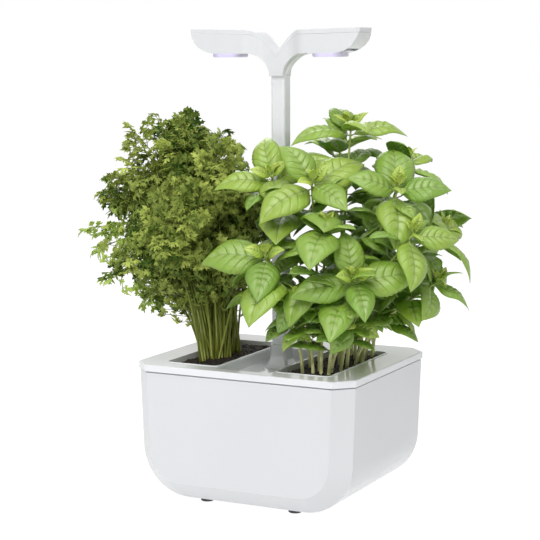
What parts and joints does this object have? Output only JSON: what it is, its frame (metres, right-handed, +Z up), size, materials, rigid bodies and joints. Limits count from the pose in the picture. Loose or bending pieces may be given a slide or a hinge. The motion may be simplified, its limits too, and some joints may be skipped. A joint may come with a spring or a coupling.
{
  "type": "countertop hydroponic garden",
  "caption": "Countertop hydroponic garden: a white tank casing with a lid that holds parsley and basil blocks, and a leaf-shaped grow lamp on a mast between them.",
  "frame": {"origin": "on the surface it stands on, under the middle of the casing", "axes": "+Z up, -Y to the front face of the casing, +X to the basil side (the right, seen from the front)"},
  "size_m": [0.3707, 0.2414, 0.4315],
  "materials": {
    "gloss_white": "gloss",
    "console_white": "gloss",
    "mast_white": "gloss",
    "lamp_white": "gloss",
    "tank_white": "satin",
    "tongue_metal": "satin",
    "foot_rubber": "matte",
    "dark_plastic": "satin",
    "lens_violet": "satin",
    "board_metal": "satin",
    "board_green": "satin",
    "tray_brown": "matte",
    "soil": "matte",
    "wick_felt": "matte",
    "basil_stem": "satin",
    "basil_leaf": "satin",
    "parsley_stalk": "satin",
    "parsley_leaf": "satin",
    "float_white": "satin",
    "button_grey": "satin"
  },
  "bodies": {
    "base": {"outer_casing": "gloss_white", "rubber_feet": "foot_rubber", "water_tank": "tank_white"},
    "lid": {"top_cover": "gloss_white", "centre_console": "console_white", "mast_foot": "console_white", "power_inlet": "dark_plastic", "electronics_case": "tank_white", "control_board": "board_green"},
    "lamp": {"mast_front_shell": "mast_white", "mast_rear_shell": "mast_white", "mast_tongue": "tongue_metal", "contact_plug": "dark_plastic", "lamp_lead": "dark_plastic", "lamp_lower_shell": "lamp_white", "lamp_top_cover": "lamp_white", "lens_left": "lens_violet", "lens_right": "lens_violet", "led_board_left": "board_metal", "led_board_right": "board_metal"},
    "parsley_block": {"parsley_tray": "tray_brown", "parsley_soil": "soil", "parsley_wick": "wick_felt", "parsley_stalks": "parsley_stalk", "parsley_leaves": "parsley_leaf"},
    "basil_block": {"basil_tray": "tray_brown", "basil_soil": "soil", "basil_wick": "wick_felt", "basil_stems": "basil_stem", "basil_leaves": "basil_leaf"},
    "float": {"level_float": "float_white"},
    "button": {"power_button": "button_grey"}
  },
  "joints": [
    {"name": "lid_lift", "type": "slide", "parent": "base", "child": "lid", "axis": [0, 0, 1], "range_m": [0, 0.1]},
    {"name": "lamp_height", "type": "slide", "parent": "lid", "child": "lamp", "axis": [0, 0, 1], "range_m": [0, 0.055]},
    {"name": "parsley_lift", "type": "slide", "parent": "lid", "child": "parsley_block", "axis": [0, 0, 1], "range_m": [0, 0.038]},
    {"name": "basil_lift", "type": "slide", "parent": "lid", "child": "basil_block", "axis": [0, 0, 1], "range_m": [0, 0.038]},
    {"name": "float_rise", "type": "slide", "parent": "lid", "child": "float", "axis": [0, 0, 1], "range_m": [0, 0.018]},
    {"name": "button_press", "type": "slide", "parent": "lid", "child": "button", "axis": [0, 0, -1], "range_m": [0, 0.0015], "stiffness_N_per_m": 400}
  ]
}
